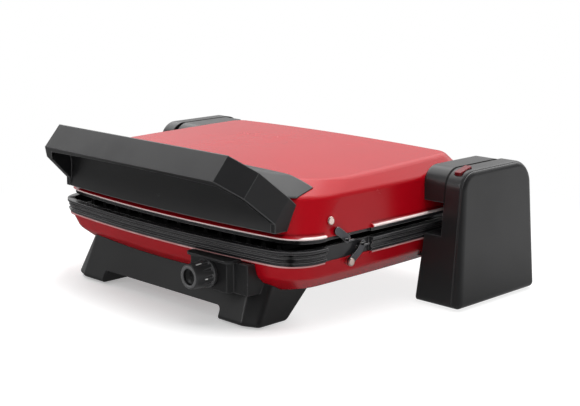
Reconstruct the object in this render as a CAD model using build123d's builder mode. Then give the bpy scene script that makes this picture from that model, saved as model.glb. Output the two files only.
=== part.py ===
from build123d import *
from math import atan, cos, degrees, hypot, pi, radians, sin, sqrt, tan
import os

os.makedirs("parts", exist_ok=True)

# Contact grill with a lid that opens flat. Millimetres, +Z up, +Y to the back,
# origin on the table under the middle of the whole grill.

# Overall size: the cooking body, and how far handle and pods reach beyond it
body_half_width = 144.5
body_depth = 213.0
pod_reach = 45.5
handle_reach = 39.0
pod_overhang = 28.0
handle_top = 134.6
overall_width = 2 * (body_half_width + pod_reach)
overall_depth = handle_reach + body_depth + pod_overhang
front_y = -overall_depth / 2
rear_y = overall_depth / 2
far = overall_width
pad_height = 1.5
seat_gap = 0.2
running_gap = 0.05
hole_run = 6.0

# Plan outline shared by the lid, the bowl and both plates
body_front_y = front_y + handle_reach
body_rear_y = rear_y - pod_overhang
bow_radius = 1000.0
side_bow = 2.0
front_corner_radius = 26.0
rear_corner_radius = 16.0
sheet = 1.4

# Lid skin
lid_rim_z = 70.8
lid_waist_z = 100.0
lid_waist_inset = 3.5
lid_front_inset = 5.0
lid_waist_corner = 46.0
lid_crest_corner = 58.0
bevel_side_slope = 1.0
bevel_front_slope = 2.2
bevel_rear_slope = 0.5
crest_rise = 27.0
ridge_z = 112.8
ridge_slope = 0.02
crown_radius = 4000.0
crown_margin = 20.0
waist_round = 6.0
shoulder_round = 9.0
hem_height = 1.5
hem_width = 1.2
lid_hem_width = 2.4

# Bowl and lower plate stand a little proud of the lid at the front
lower_front_step = 6.5
bowl_rim_z = 52.2
bowl_waist_z = 40.0
bowl_floor_z = 26.0
bowl_rim_inset = 1.0
bowl_waist_inset = 5.0
bowl_floor_inset = 23.0
bowl_end_share = 0.8
bowl_waist_spread = 6.0
bowl_floor_spread = 10.0
bowl_round = 8.0

# Grill plates
plate_floor = 3.5
lower_plate_top_z = 63.5
upper_plate_low_z = 68.0
rib_height = 4.0
rib_count = 15
rib_foot = 6.0
rib_crest = 3.4
rib_bury = 0.5
rib_shy = 0.5
cooking_half_width = body_half_width - 17.5
cooking_depth = body_depth - 19.0
cooking_middle_y = (body_front_y + body_rear_y) / 2 - 1.5
rib_pitch = 2 * (cooking_half_width - 11.5) / (rib_count - 1)
rib_length = cooking_depth - 16.0
gutter_depth = 2.0
band_wall = 4.0
lower_lip = 2.5
lip_height = 2.0
# Rim mouldings of the lower plate: rise above its foot and growth beyond the body
rim_beads = ((0.0, 0.2), (2.6, 1.6), (3.2, 0.0), (5.4, 0.0), (6.0, 1.4), (7.4, 1.4), (8.0, 0.2))
upper_rim_top_z = 70.6
upper_floor_z = 71.5
tray_slack = 1.8

# Latch bay in each side rim
bay_front_y = body_front_y + 35.0
bay_length = 49.0
bay_x = body_half_width - 0.3
tab_width = 8.0
tab_reach = 2.6
tab_thickness = 2.0

# Heating elements and their reflectors
element_radius = 3.2
element_half_width = cooking_half_width - 23.0
element_front_y = body_front_y + 27.0
element_rear_y = body_rear_y - 28.0
element_bend = 24.0
element_tail_x = 14.0
reflector_sheet = 0.8
reflector_drop = 6.2
reflector_half_width = cooking_half_width - 9.0
reflector_depth = cooking_depth - 18.0
reflector_flange = 5.0
post_radius = 4.0
post_x = element_half_width - 9.0
post_y = reflector_depth / 2 - 22.0
post_length = 40.0

# Hinge
hinge_y = rear_y - 20.0
hinge_z = handle_top / 2 + seat_gap
lift_travel = 15.0
pin_radius = 3.5
lug_radius = 9.5
block_half = 5.5
block_gap = 0.3
guide_wall = 1.6
pin_head_radius = 5.2
pin_head = 1.6

# Rear pods
pod_length = 102.4
pod_front_y = rear_y - pod_length
pod_top_z = 109.5
pod_front_lean = 10.0
pod_rear_lean = 3.5
pod_inner_x = body_half_width + 5.5
pod_inner_taper = 4.0
pod_slot_x = pod_inner_x + 16.5
pod_shelf_z = 57.0
pod_shelf_rear_y = hinge_y - 0.6
pod_relief_radius = 12.5
pod_outer_x = overall_width / 2
pod_seam_x = pod_outer_x - 8.0
pod_seam_gap = 0.2
pod_side_lean = 6.3
pod_front_round = 16.0
pod_rear_round = 20.0
pod_sole_round = 4.0
pod_bevel = 5.0
pod_wall = 3.0
cover_wall = 2.5
boss_front_y = pod_front_y + 18.4
boss_rear_y = body_rear_y - 8.0
boss_low_z = 33.0
boss_high_z = 50.0
boss_root = 20.0

# Lid arms
arm_outer_x = pod_slot_x - 1.5
arm_inner_x = pod_inner_x - 0.2
arm_front_y = body_rear_y - 64.0
arm_rear_y = hinge_y - 2.0
arm_foot_y = hinge_y - 18.0
arm_low_z = 82.5
arm_front_lean = 2.5
arm_front_round = 15.0
arm_rear_round = 4.0
arm_root_x = body_half_width - 3.5
arm_overlap = 1.0

# Handle: a hooded bar that grows out of a saddle on the front of the lid
handle_lip_z = 117.5
handle_face = 22.9
handle_tilt = 41.6
end_half = body_half_width - 15.5
end_back = 50.0
knee_half = end_half - 7.0
knee_back = 18.4
handle_half_length = end_half - 25.0
hood_length = 96.0
saddle_front_y = body_front_y - 7.0
saddle_bow_radius = 1400.0
saddle_low_z = 77.0
saddle_rear_y = body_front_y + 39.0
lid_waist_front_y = body_front_y + lid_front_inset
flange_thickness = 2.0
lip = 4.5
hood_depth = 13.0
hood_bend = 29.0
belly_drop = 40.0
belly_middle = (hood_bend + 13.5, hood_depth - 9.3)
belly_foot = (end_back + 1.0, -9.0)

# Front stand
stand_front_y = body_front_y - 9.0
stand_rake = 16.0
foot_outer = body_half_width - 31.5
foot_inner = foot_outer - 40.0
foot_front_half = foot_outer - 14.0
foot_depth = 34.0
foot_corner = 5.1
foot_sole = 4.0
foot_round = 2.5
stand_top_z = 43.0
stand_top_front_half = foot_outer - 16.0
stand_top_half = foot_outer - 3.2
stand_top_corner = 12.5
stand_top_depth = 67.0
stand_open_rear = 12.0
arch_z = 12.0
arch_round = 4.0
stand_wall = 3.0
stand_round = 5.0

# Control housing and knob
knob_x = foot_outer - 46.0
knob_z = 38.4
housing_left_x = knob_x - 20.0
housing_pad_x = knob_x + 21.0
housing_right_x = knob_x + 38.5
housing_low_z = 26.0
housing_face_y = stand_front_y - 3.0
housing_depth = 25.0
housing_edge = 2.5
visor_y = stand_front_y - 7.5
visor_right_x = knob_x + 27.0
visor_low_z = 50.0
visor_thickness = 2.0
visor_round = 6.0
knob_gap = 0.4
knob_length = 19.0
knob_base_radius = 10.8
knob_tip_radius = 9.5
knob_skirt_radius = 11.2
knob_skirt = 2.6
knob_edge_round = 1.0
knob_dish_radius = 6.4
knob_dish_depth = 2.2
knob_flutes = 12
flute_radius = 1.6
shaft_radius = 3.0
shaft_hole_radius = 4.2
shaft_depth = 15.0
thermostat_y = body_front_y + 21.0
thermostat_size = (24.0, 16.0, 12.0)
thermostat_round = 1.5
shaft_entry = 8.0
bracket_sheet = 1.5
bracket_foot = 10.0
bracket_half_width = 15.0

# Release button on the right pod
button_x = pod_slot_x + 8.0
button_width = 6.6
button_length = 15.0
button_angle = 104.0
button_proud = 0.9
button_height = 7.0
button_gap = 0.3
button_corner = 1.2

# Mains entry and wiring pieces
entry_x = 60.0
entry_z = 42.0
gland_radius = 6.0
gland_bore_radius = 3.6
gland_flange_radius = 8.0
gland_flange = 2.0
gland_length = 13.0
terminal_size = (30.0, 14.0, 11.0)
terminal_y = body_rear_y - 33.0
terminal_pitch = (9.0, 8.0)
terminal_hole_radius = 1.8
fuse_radius = 2.0
fuse_length = 12.0
fuse_start = (20.0, 60.0)

# Feet and fasteners
pad_radius = 9.0
pad_plug_radius = 2.5
pad_plug = 4.0
pad_round = 0.5
front_pad_x = foot_outer - 21.0
front_pad_y = stand_front_y + 18.0
rear_pad_x = pod_outer_x - 23.0
rear_pad_ys = (pod_front_y + 20.4, hinge_y - 12.0)
screw_radius = 1.7
screw_head_radius = 3.4
screw_head = 1.8
rivet_head_radius = 3.3
rivet_head = 1.3
rivet_shank = 1.6
rivet_tail = 1.5
rivet_collar = 2.6

# Plate latches
clip_x = body_half_width + 2.3
clip_sheet = 1.2
clip_lug_radius = 3.1
clip_tip_radius = 3.0
clip_gap = 0.2
upper_rivet_y = body_front_y + 40.8
upper_rivet_z = 82.6
upper_pivot_y = body_front_y + 45.5
upper_pivot_z = 74.6
upper_hook_y = body_front_y + 56.0
lower_rivet_y = body_front_y + 59.5
lower_rivet_z = 48.5
lower_hook_y = body_front_y + 73.0
hook_reach = 2.0
hook_clear = 0.5
upper_knee_z = 71.0
lower_knee_z = 55.0
lower_knee_step = 3.0
thumb_tab = 4.0

# Screws through the skins
handle_screw_z = 87.0
handle_screw_xs = (49.0 - end_half, 0.0, end_half - 49.0)
handle_screw_length = 7.0
arm_screw_z = 90.0
arm_screw_ys = (arm_front_y + 12.0, arm_front_y + 32.0)
arm_screw_length = 12.0
leg_screw_z = 45.5
leg_screw_ys = (boss_front_y + 6.0, boss_front_y + 24.0)
leg_screw_length = 12.0
stand_screw_x = foot_outer - 18.0
stand_screw_y = stand_front_y + foot_depth
stand_screw_length = 12.0
stand_boss_radius = 5.0


def outline(half_width, front, rear, front_radius, rear_radius):
    """Plan outline of the cooking body: bowed front and sides, straight back."""
    sag = bow_radius - sqrt(bow_radius**2 - half_width**2)
    corner = front + sag
    middle = (front + rear) / 2
    with BuildSketch() as plan:
        with BuildLine():
            ThreePointArc((-half_width, corner), (0, front), (half_width, corner))
            ThreePointArc((half_width, corner), (half_width + side_bow, middle), (half_width, rear))
            Line((half_width, rear), (-half_width, rear))
            ThreePointArc((-half_width, rear), (-half_width - side_bow, middle), (-half_width, corner))
        make_face()
        fillet(plan.vertices().group_by(Axis.Y)[0], front_radius)
        fillet(plan.vertices().group_by(Axis.Y)[-1], rear_radius)
    return plan.sketch


def body_outline(grow, front_step):
    """The shared outline, grown all round and stepped forward at the front."""
    return outline(
        body_half_width + grow,
        body_front_y - front_step - grow,
        body_rear_y + grow,
        front_corner_radius + grow,
        rear_corner_radius + grow,
    )


def level_band(steps, front_step=0.0):
    """Solid stacked from outlines: each step is a height and how far it grows."""
    with BuildPart() as band:
        for level, grow in steps:
            with BuildSketch(Plane.XY.offset(level)):
                add(body_outline(grow, front_step))
        loft(ruled=True)
    return band.part


def lid_form(inset):
    """Everything under the lid's skin, which is thinner than the lid by the inset."""
    waist_rear = body_rear_y - lid_waist_inset
    waist_half = body_half_width - lid_waist_inset
    with BuildPart() as form:
        with BuildSketch(Plane.XY.offset(lid_rim_z)):
            add(body_outline(-inset, 0))
        with BuildSketch(Plane.XY.offset(lid_waist_z)):
            add(
                outline(
                    waist_half - inset,
                    lid_waist_front_y + inset,
                    waist_rear - inset,
                    lid_waist_corner - inset,
                    rear_corner_radius,
                )
            )
        with BuildSketch(Plane.XY.offset(lid_waist_z + crest_rise)):
            add(
                outline(
                    waist_half - crest_rise * bevel_side_slope - inset,
                    lid_waist_front_y + crest_rise * bevel_front_slope + inset,
                    waist_rear - crest_rise * bevel_rear_slope - inset,
                    lid_crest_corner - inset,
                    rear_corner_radius,
                )
            )
        loft(ruled=True)
        waist = form.edges().filter_by(lambda edge: abs(edge.center().Z - lid_waist_z) < 0.01)
        fillet(waist, waist_round - inset)
        # The crown is a wide arc that rises a little towards the hinge
        crown_y = rear_y + crown_margin
        crown_plane = Plane(
            origin=(0, crown_y, ridge_z - inset + ridge_slope * crown_y),
            x_dir=(1, 0, 0),
            z_dir=(0, -1, -ridge_slope),
        )
        crown_half = body_half_width + crown_margin
        crown_sag = crown_radius - sqrt(crown_radius**2 - crown_half**2)
        with BuildSketch(crown_plane):
            with BuildLine():
                ThreePointArc((-crown_half, -crown_sag), (0, 0), (crown_half, -crown_sag))
                Polyline(
                    (crown_half, -crown_sag),
                    (crown_half, -ridge_z),
                    (-crown_half, -ridge_z),
                    (-crown_half, -crown_sag),
                )
            make_face()
        extrude(amount=overall_depth + 3 * crown_margin, mode=Mode.INTERSECT)
        fillet(form.faces().sort_by(Axis.Z)[-1].edges(), shoulder_round - inset)
    return form.part


def bowl_form(inset):
    """Everything inside the bowl's skin, up to its rim."""
    floor_z = bowl_floor_z + inset
    steps = (
        (bowl_rim_z, bowl_rim_inset, 0),
        (bowl_waist_z, bowl_waist_inset, bowl_waist_spread),
        (floor_z, bowl_floor_inset, bowl_floor_spread),
    )
    with BuildPart() as form:
        for level, shrink, extra in steps:
            with BuildSketch(Plane.XY.offset(level)):
                add(
                    outline(
                        body_half_width - shrink - inset,
                        body_front_y - lower_front_step + shrink * bowl_end_share + inset,
                        body_rear_y - shrink * bowl_end_share - inset,
                        front_corner_radius + extra - inset,
                        rear_corner_radius + extra - inset,
                    )
                )
        loft(ruled=True)
        for level in (bowl_waist_z, floor_z):
            loop = form.edges().filter_by(lambda edge: abs(edge.center().Z - level) < 0.01)
            fillet(loop, bowl_round - inset)
    return form.part


def keep(name, solid):
    """Labels a finished piece and writes it."""
    solid.label = name
    export_step(solid, f"parts/{name}.step")


def block(x_span, y_span, z_span):
    """A plain block between two corners, for trimming and joining."""
    size = [span[1] - span[0] for span in (x_span, y_span, z_span)]
    centre = [(span[0] + span[1]) / 2 for span in (x_span, y_span, z_span)]
    with BuildPart() as solid:
        with Locations(tuple(centre)):
            Box(*size)
    return solid.part


def rod(start, direction, length, radius):
    """A round bar from a point along a direction."""
    with BuildPart() as bar:
        with BuildSketch(Plane(origin=start, z_dir=direction)):
            Circle(radius)
        extrude(amount=length)
    return bar.part


lid_outer = lid_form(0)
lid_inner = lid_form(sheet)
lid_seat = lid_form(-seat_gap)
bowl_outer = bowl_form(0)
bowl_inner = bowl_form(sheet)
bowl_seat = bowl_form(-seat_gap)

bay_span = (bay_front_y, bay_front_y + bay_length)


def both_sides(solid):
    """The piece and its mirror image on the left."""
    return [solid, solid.mirror(Plane.YZ)]


def side_bays(low_z, high_z, inner_x):
    """The two side bays, as blocks that clear everything outside a given width."""
    right = block((inner_x, far), bay_span, (low_z, high_z))
    return both_sides(right)


# Fasteners stand square to the leaning skins
handle_lean = atan(lid_front_inset / (lid_waist_z - lid_rim_z))
handle_screw_dir = (0, -cos(handle_lean), sin(handle_lean))


def lid_front_y(x, z):
    """Where the lid's front wall stands at a given width and height."""
    lean = lid_front_inset * (z - lid_rim_z) / (lid_waist_z - lid_rim_z)
    return body_front_y + lean + bow_radius - sqrt(bow_radius**2 - x**2)


def side_x(inset, y):
    """Half width of the body at a given depth, allowing for the bowed sides."""
    half_depth = (body_rear_y - body_front_y) / 2
    middle = (body_rear_y + body_front_y) / 2
    return body_half_width - inset + side_bow * (1 - ((y - middle) / half_depth) ** 2)


def lid_side_point(y, z):
    """Point on the right side of the lid's skin."""
    inset = lid_waist_inset * (z - lid_rim_z) / (lid_waist_z - lid_rim_z)
    return (side_x(inset, y), y, z)


arm_lean = atan(lid_waist_inset / (lid_waist_z - lid_rim_z))
arm_screw_dir = (cos(arm_lean), 0, sin(arm_lean))

leg_lean = atan((bowl_waist_inset - bowl_rim_inset) / (bowl_rim_z - bowl_waist_z))
leg_screw_dir = (cos(leg_lean), 0, -sin(leg_lean))


def wall_screw(point, direction, length):
    """A pan-head screw whose head bears on the inside of a sheet wall."""
    inward = Vector(direction) * -1
    under_head = Vector(point) + inward * (sheet + 1.5 * seat_gap)
    shank = rod(under_head, direction, sheet + 1.5 * seat_gap + length, screw_radius)
    return shank + rod(under_head, inward, screw_head, screw_head_radius)


def wall_hole(point, direction, length):
    """Clearance for one of those screws."""
    inward = Vector(direction) * -1
    start = Vector(point) + inward * hole_run
    return rod(start, direction, hole_run + length + running_gap, screw_radius + running_gap)


def handle_screw_point(x):
    return (x, lid_front_y(x, handle_screw_z), handle_screw_z)


def arm_screw_point(y):
    return lid_side_point(y, arm_screw_z)


def leg_screw_point(y):
    share = (bowl_rim_z - leg_screw_z) / (bowl_rim_z - bowl_waist_z)
    inset = bowl_rim_inset + share * (bowl_waist_inset - bowl_rim_inset)
    return (side_x(inset, y), y, leg_screw_z)


def skin_rivet(point, direction):
    """Domed-head rivet set straight on a sheet wall, with its tail inside."""
    outward = Vector(direction)
    under_head = Vector(point) + outward * seat_gap
    with BuildPart() as pin:
        add(rod(under_head, direction, rivet_head, rivet_head_radius))
        fillet(pin.edges().sort_by(Axis.X)[-1:], rivet_head * 0.7)
        add(rod(under_head - outward * (sheet + rivet_tail), direction, sheet + rivet_tail, rivet_shank))
    return pin.part


def pivot_pin(point, skin_x, lean):
    """Shouldered pin along X from inside the skin out to the back of a clip."""
    collar_x = skin_x + seat_gap + rivet_collar * tan(lean)
    tail_x = skin_x - sheet - rivet_tail / 2
    with BuildPart() as pin:
        add(rod((collar_x, *point), (1, 0, 0), clip_x - clip_gap - collar_x, rivet_collar))
        add(rod((tail_x, *point), (1, 0, 0), clip_x + clip_sheet - tail_x, rivet_shank))
    return pin.part


def pivot_hole(point, skin_x):
    """Hole through a side wall for a pivot pin."""
    return rod((skin_x - hole_run, *point), (1, 0, 0), 2 * hole_run, rivet_shank + running_gap)


def pivot_rivet(point, skin_x, lean):
    """A pivot pin finished with a domed head outside the clip."""
    head_x = clip_x + clip_sheet + clip_gap
    with BuildPart() as pin:
        add(rod((head_x, *point), (1, 0, 0), rivet_head, rivet_head_radius))
        fillet(pin.edges().sort_by(Axis.X)[-1:], rivet_head * 0.7)
        add(rod((head_x - clip_gap, *point), (1, 0, 0), clip_gap, rivet_shank))
        add(pivot_pin(point, skin_x, lean))
    return pin.part


upper_rivet_point = lid_side_point(upper_rivet_y, upper_rivet_z)
upper_pivot = (upper_pivot_y, upper_pivot_z)
upper_pivot_x = lid_side_point(*upper_pivot)[0]
lower_rivet = (lower_rivet_y, lower_rivet_z)
lower_rivet_share = (bowl_rim_z - lower_rivet_z) / (bowl_rim_z - bowl_waist_z)
lower_rivet_inset = bowl_rim_inset + lower_rivet_share * (bowl_waist_inset - bowl_rim_inset)
lower_skin_x = side_x(lower_rivet_inset, lower_rivet_y)

# Lid shell: pressed sheet with a rolled hem that stops short of the latch bays
with BuildPart() as upper_shell:
    hem_steps = ((0, hem_width), (hem_height / 2, lid_hem_width), (hem_height, lid_hem_width))
    hem_levels = [(lid_rim_z + rise, grow) for rise, grow in hem_steps]
    add(level_band((*hem_levels, (lid_rim_z + 2 * hem_height, 0))))
    add(side_bays(lid_rim_z - 1, lid_waist_z, body_half_width - 10), mode=Mode.SUBTRACT)
    add(lid_outer)
    add(lid_inner, mode=Mode.SUBTRACT)
    for x in handle_screw_xs:
        add(wall_hole(handle_screw_point(x), handle_screw_dir, sheet), mode=Mode.SUBTRACT)
    for y in arm_screw_ys:
        add(both_sides(wall_hole(arm_screw_point(y), arm_screw_dir, sheet)), mode=Mode.SUBTRACT)
    rivet_hole = wall_hole(upper_rivet_point, arm_screw_dir, sheet)
    add(both_sides(rivet_hole), mode=Mode.SUBTRACT)
    add(both_sides(pivot_hole(upper_pivot, upper_pivot_x)), mode=Mode.SUBTRACT)
keep("upper_shell", upper_shell.part)

# Base shell: the bowl below the lower plate
entry_lean = atan(bowl_end_share * (bowl_waist_inset - bowl_rim_inset) / (bowl_rim_z - bowl_waist_z))
entry_share = (bowl_rim_z - entry_z) / (bowl_rim_z - bowl_waist_z)
entry_inset = bowl_end_share * (bowl_rim_inset + entry_share * (bowl_waist_inset - bowl_rim_inset))
entry_point = Vector(entry_x, body_rear_y - entry_inset, entry_z)
entry_dir = Vector(0, cos(entry_lean), -sin(entry_lean))
with BuildPart() as lower_shell:
    add(
        level_band(
            ((bowl_rim_z - hem_height, hem_width - bowl_rim_inset), (bowl_rim_z, hem_width - bowl_rim_inset)),
            lower_front_step,
        )
    )
    add(side_bays(bowl_waist_z, bowl_rim_z + 1, body_half_width - 10), mode=Mode.SUBTRACT)
    add(bowl_outer)
    add(bowl_inner, mode=Mode.SUBTRACT)
    for y in leg_screw_ys:
        add(both_sides(wall_hole(leg_screw_point(y), leg_screw_dir, sheet)), mode=Mode.SUBTRACT)
    add(both_sides(pivot_hole(lower_rivet, lower_skin_x)), mode=Mode.SUBTRACT)
    shaft_gap = rod((knob_x, housing_face_y, knob_z), (0, 1, 0), housing_depth, shaft_hole_radius)
    add(shaft_gap, mode=Mode.SUBTRACT)
    gland_hole = rod(entry_point - entry_dir * hole_run, entry_dir, 2 * hole_run, gland_radius + seat_gap)
    add(gland_hole, mode=Mode.SUBTRACT)
    stand_start = (stand_screw_x, stand_screw_y, bowl_floor_z - 1)
    stand_hole = rod(stand_start, (0, 0, 1), hole_run, screw_radius + running_gap)
    add(both_sides(stand_hole), mode=Mode.SUBTRACT)
keep("lower_shell", lower_shell.part)


def ribs(floor_z, tip_z):
    """Parallel grilling ribs, wider at the foot than at the crest."""
    rise = tip_z - floor_z
    bury = -rib_bury if rise > 0 else rib_bury
    with BuildPart() as rows:
        with BuildSketch(Plane.XZ.offset(rib_length / 2 - cooking_middle_y)):
            with Locations((0, floor_z)):
                with GridLocations(rib_pitch, 0, rib_count, 1):
                    Polygon(
                        (-rib_foot / 2, bury),
                        (rib_foot / 2, bury),
                        (rib_crest / 2, rise),
                        (-rib_crest / 2, rise),
                        align=None,
                    )
        extrude(amount=-rib_length)
    return rows.part


# Lower plate: cast pan with a beaded rim, drip gutter and grilling ribs
lower_plate_low_z = bowl_rim_z + seat_gap
lower_floor_z = lower_plate_top_z - rib_height - rib_shy
with BuildPart() as lower_plate:
    beads = [(lower_plate_low_z + rise, grow) for rise, grow in rim_beads]
    lip_edge = ((lower_plate_top_z - lip_height, lower_lip), (lower_plate_top_z, lower_lip))
    add(level_band((*beads, *lip_edge), lower_front_step))
    add(side_bays(bowl_rim_z, lower_plate_top_z + 1, bay_x), mode=Mode.SUBTRACT)
    gutter_z = lower_floor_z - gutter_depth
    add(
        level_band(((gutter_z, -band_wall), (lower_plate_top_z + 1, -band_wall)), lower_front_step),
        mode=Mode.SUBTRACT,
    )
    under_z = lower_floor_z - plate_floor
    add(
        level_band(((bowl_rim_z - 1, -band_wall), (under_z, -band_wall)), lower_front_step),
        mode=Mode.SUBTRACT,
    )
    with Locations((0, cooking_middle_y, (under_z + lower_floor_z) / 2)):
        Box(2 * cooking_half_width, cooking_depth, plate_floor)
    add(ribs(lower_floor_z, lower_floor_z + rib_height))
    tab_z = lower_floor_z - tab_thickness
    tab = block(
        (bay_x - 1, bay_x + tab_reach),
        (lower_hook_y - tab_width / 2, lower_hook_y + tab_width / 2),
        (tab_z, tab_z + tab_thickness),
    )
    add(both_sides(tab))
keep("lower_plate", lower_plate.part)

# Upper plate: the same pan turned over and let up into the lid
upper_top_z = upper_floor_z + plate_floor
tray_lean = lid_waist_inset * (upper_top_z - lid_rim_z) / (lid_waist_z - lid_rim_z)
with BuildPart() as upper_plate:
    add(level_band(((upper_plate_low_z, 0.4), (upper_rim_top_z, 0.4))))
    add(side_bays(upper_plate_low_z - 1, lid_rim_z, bay_x), mode=Mode.SUBTRACT)
    wall_grow = -sheet - tray_slack
    add(level_band(((upper_rim_top_z, wall_grow), (upper_top_z, wall_grow - tray_lean))))
    add(
        level_band(((upper_plate_low_z - 1, -band_wall), (upper_floor_z, -band_wall))),
        mode=Mode.SUBTRACT,
    )
    add(ribs(upper_floor_z, upper_floor_z - rib_height))
    tab = block(
        (bay_x - 1, bay_x + tab_reach),
        (upper_hook_y - tab_width / 2, upper_hook_y + tab_width / 2),
        (upper_plate_low_z + seat_gap, upper_plate_low_z + seat_gap + tab_thickness),
    )
    add(both_sides(tab))
keep("upper_plate", upper_plate.part)


def element(level):
    """Tubular heater bent round the plate, its two ends side by side at the back."""
    with BuildPart() as loop:
        with BuildLine(Plane.XY.offset(level)) as run:
            FilletPolyline(
                (element_tail_x, element_rear_y),
                (element_half_width, element_rear_y),
                (element_half_width, element_front_y),
                (-element_half_width, element_front_y),
                (-element_half_width, element_rear_y),
                (-element_tail_x, element_rear_y),
                radius=element_bend,
            )
        with BuildSketch(Plane(origin=run.line @ 0, z_dir=run.line % 0)):
            Circle(element_radius)
        sweep(path=run.line)
    return loop.part


def reflector(face_z, side, post):
    """Sheet tray behind a heater: flange, four posts and three saddles for the tube.

    The side is +1 when the tray lies above the heater and -1 below it.
    """
    rear = reflector_depth / 2
    outer = (face_z, face_z + side * reflector_sheet)
    with BuildPart() as tray:
        with BuildSketch(Plane.XY.offset(min(outer))):
            RectangleRounded(2 * reflector_half_width, 2 * rear, element_bend)
        extrude(amount=reflector_sheet)
        with BuildSketch(Plane.XY.offset(min(face_z, face_z - side * reflector_flange))):
            RectangleRounded(2 * reflector_half_width, 2 * rear, element_bend)
            RectangleRounded(
                2 * (reflector_half_width - reflector_sheet),
                2 * (rear - reflector_sheet),
                element_bend - reflector_sheet,
                mode=Mode.SUBTRACT,
            )
        extrude(amount=reflector_flange)
        for x in (-post_x, post_x):
            for y in (-post_y, post_y):
                add(rod((x, y, outer[1]), (0, 0, side), post, post_radius))
        saddle = reflector_drop - element_radius - seat_gap
        for x, y in ((-element_half_width, 0), (element_half_width, 0), (0, element_front_y)):
            add(rod((x, y, face_z), (0, 0, -side), saddle, element_radius))
    return tray.part


lower_element_z = under_z - seat_gap - element_radius
with BuildPart() as lower_element:
    add(element(lower_element_z))
keep("lower_element", lower_element.part)

upper_element_z = upper_top_z + seat_gap + element_radius
with BuildPart() as upper_element:
    add(element(upper_element_z))
keep("upper_element", upper_element.part)

lower_tray_z = lower_element_z - reflector_drop
lower_post = lower_tray_z - reflector_sheet - (bowl_floor_z + sheet) - seat_gap
with BuildPart() as lower_reflector:
    add(reflector(lower_tray_z, -1, lower_post))
keep("lower_reflector", lower_reflector.part)

upper_tray_z = upper_element_z + reflector_drop
with BuildPart() as upper_reflector:
    add(reflector(upper_tray_z, 1, post_length))
    add(lid_form(sheet + seat_gap), mode=Mode.INTERSECT)
keep("upper_reflector", upper_reflector.part)


def stand_form(inset):
    """Front stand outline: raked back all round and widening towards the floor."""
    rear = stand_open_rear if inset else 0.0
    foot_line = stand_front_y + inset
    top_line = stand_front_y + stand_rake + inset
    bottom = (
        (foot_front_half - inset, foot_line),
        (foot_outer - inset, foot_line + foot_corner),
        (foot_outer - inset, foot_line + foot_depth + rear),
    )
    top = (
        (stand_top_front_half - inset, top_line),
        (stand_top_half - inset, top_line + stand_top_corner),
        (stand_top_half - inset, top_line + stand_top_depth + rear),
    )
    with BuildPart() as form:
        for level, right in ((pad_height, bottom), (stand_top_z, top)):
            left = tuple((-x, y) for x, y in reversed(right))
            with BuildSketch(Plane.XY.offset(level)):
                Polygon(*right, *left, align=None)
        loft(ruled=True)
        upright = form.edges().filter_by(lambda edge: abs(edge.tangent_at(0.5).Z) > 0.7)
        fillet(upright.filter_by(lambda edge: edge.center().Y < stand_front_y + foot_depth), stand_round)
        if not inset:
            sole_edges = form.faces().sort_by(Axis.Z)[0].edges().sort_by(Axis.Y)[:-1]
            fillet(sole_edges, foot_round)
    return form.part


stand_outer = stand_form(0)
foot_rear_y = stand_front_y + foot_depth


def stand_foot(side):
    """One foot's sole, inner wall, low rear wall and screw boss."""
    wall_x = sorted((side * foot_inner, side * (foot_inner + stand_wall)))
    foot_x = sorted((side * foot_inner, side * foot_outer))
    boss_start = (side * stand_screw_x, stand_screw_y, pad_height)
    with BuildPart() as foot:
        add(block(wall_x, (stand_front_y, 0), (pad_height, bowl_waist_z)))
        add(block(foot_x, (stand_front_y, 0), (pad_height, pad_height + foot_sole)))
        add(block(foot_x, (foot_rear_y - stand_wall, foot_rear_y), (pad_height, bowl_waist_z)))
        add(rod(boss_start, (0, 0, 1), bowl_waist_z, stand_boss_radius))
        add(stand_outer, mode=Mode.INTERSECT)
    return foot.part


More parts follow.
